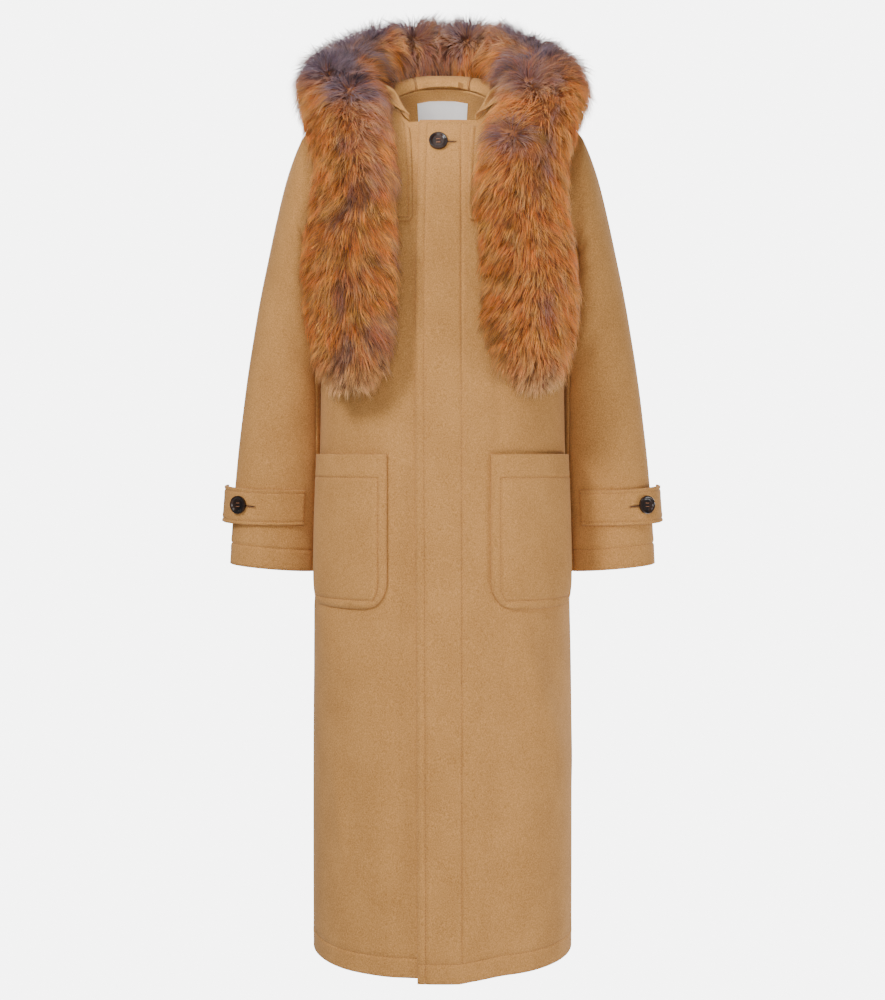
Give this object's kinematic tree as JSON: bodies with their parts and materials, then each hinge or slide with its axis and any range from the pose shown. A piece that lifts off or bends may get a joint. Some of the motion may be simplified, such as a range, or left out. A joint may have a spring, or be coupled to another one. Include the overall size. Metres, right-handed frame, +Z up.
{
  "type": "fur-trimmed coat",
  "caption": "Long hooded coat of camel wool with a fly front, patch pockets, strapped cuffs and a wide fur edging round the dropped hood.",
  "frame": {"origin": "centre of the neck at the level where the shoulder seams meet the neckline, where the wearer's shoulders hold the coat", "axes": "+Z up, the front faces -Y, the wearer's left is +X"},
  "size_m": [0.675, 0.3853, 1.429],
  "materials": {
    "wool": "brushed matt wool",
    "fur": "long dense fur, rust with tan tips and grey under-hair",
    "horn": "polished dark horn",
    "label": "satin"
  },
  "bodies": {
    "root": {"back": "wool", "hood_centre": "wool", "hanger_loop": "wool", "front_left": "wool", "sleeve_left_top": "wool", "sleeve_left_under": "wool", "pocket_left": "wool", "yoke_left": "wool", "cuff_strap_left": "wool", "hood_left": "wool", "fur_front_left": "fur", "cuff_button_left": "horn", "front_right": "wool", "sleeve_right_top": "wool", "sleeve_right_under": "wool", "pocket_right": "wool", "yoke_right": "wool", "cuff_strap_right": "wool", "hood_right": "wool", "fur_front_right": "fur", "cuff_button_right": "horn", "fur_hood": "fur", "neck_button": "horn", "neck_label": "label"}
  },
  "joints": []
}
